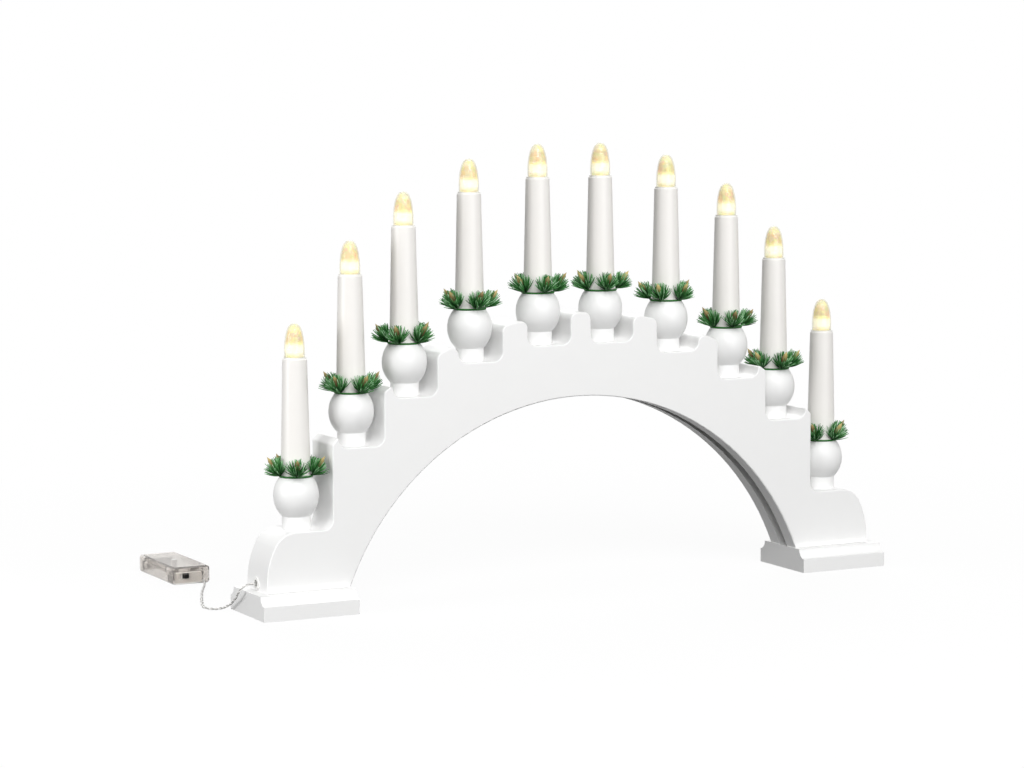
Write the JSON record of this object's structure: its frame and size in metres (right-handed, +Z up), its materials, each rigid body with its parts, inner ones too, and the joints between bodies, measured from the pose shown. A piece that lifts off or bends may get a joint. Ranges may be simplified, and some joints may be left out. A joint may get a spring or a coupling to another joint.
{
  "type": "candle arch",
  "caption": "White wooden candle arch on moulded plinths with candle-shaped lamps in turned cups, pine rings round their feet and a small clear battery box on a thin cord.",
  "frame": {"origin": "on the table, under the middle of the arch and midway through its thickness", "axes": "+X along the arch to its right end as pictured, +Y away from the viewer, +Z up"},
  "size_m": [0.5168, 0.2399, 0.3193],
  "materials": {
    "painted_wood": "satin white paint",
    "candle_plastic": "satin",
    "holder_white": "satin",
    "bulb_clear": "clear, warm",
    "emitter_warm": "gloss",
    "pine_green": "matte",
    "bud_brown": "matte",
    "lead_grey": "satin",
    "grommet_white": "satin",
    "clear_case": "clear, glossy",
    "switch_grey": "satin",
    "switch_black": "satin",
    "contact_metal": "bright",
    "screw_steel": "bright"
  },
  "bodies": {
    "arch": {"arch_board": "painted_wood", "plinth_left": "painted_wood", "plinth_right": "painted_wood", "plinth_screws": "screw_steel", "wiring_harness": "lead_grey", "cable_grommet": "grommet_white", "cord": "lead_grey", "battery_case": "clear_case", "switch_body": "switch_grey", "contact_plates": "contact_metal", "contact_springs": "contact_metal", "lamp_holders": "holder_white", "led_emitters": "emitter_warm", "candle_cup_1": "painted_wood", "candle_tube_1": "candle_plastic", "flame_bulb_1": "bulb_clear", "pine_ring_1": "pine_green", "candle_cup_2": "painted_wood", "candle_tube_2": "candle_plastic", "flame_bulb_2": "bulb_clear", "pine_ring_2": "pine_green", "candle_cup_3": "painted_wood", "candle_tube_3": "candle_plastic", "flame_bulb_3": "bulb_clear", "pine_ring_3": "pine_green", "candle_cup_4": "painted_wood", "candle_tube_4": "candle_plastic", "flame_bulb_4": "bulb_clear", "pine_ring_4": "pine_green", "candle_cup_5": "painted_wood", "candle_tube_5": "candle_plastic", "flame_bulb_5": "bulb_clear", "pine_ring_5": "pine_green", "candle_cup_6": "painted_wood", "candle_tube_6": "candle_plastic", "flame_bulb_6": "bulb_clear", "pine_ring_6": "pine_green", "candle_cup_7": "painted_wood", "candle_tube_7": "candle_plastic", "flame_bulb_7": "bulb_clear", "pine_ring_7": "pine_green", "candle_cup_8": "painted_wood", "candle_tube_8": "candle_plastic", "flame_bulb_8": "bulb_clear", "pine_ring_8": "pine_green", "candle_cup_9": "painted_wood", "candle_tube_9": "candle_plastic", "flame_bulb_9": "bulb_clear", "pine_ring_9": "pine_green", "candle_cup_10": "painted_wood", "candle_tube_10": "candle_plastic", "flame_bulb_10": "bulb_clear", "pine_ring_10": "pine_green"},
    "lid": {"battery_lid": "clear_case", "lid_screw": "screw_steel"},
    "slider": {"switch_slider": "switch_black"}
  },
  "joints": [
    {"name": "lid_lift", "type": "slide", "parent": "arch", "child": "lid", "axis": [0, 0, 1], "range_m": [0, 0.03]},
    {"name": "switch_slide", "type": "slide", "parent": "arch", "child": "slider", "axis": [1, 0, 0], "range_m": [-0.003, 0]}
  ]
}
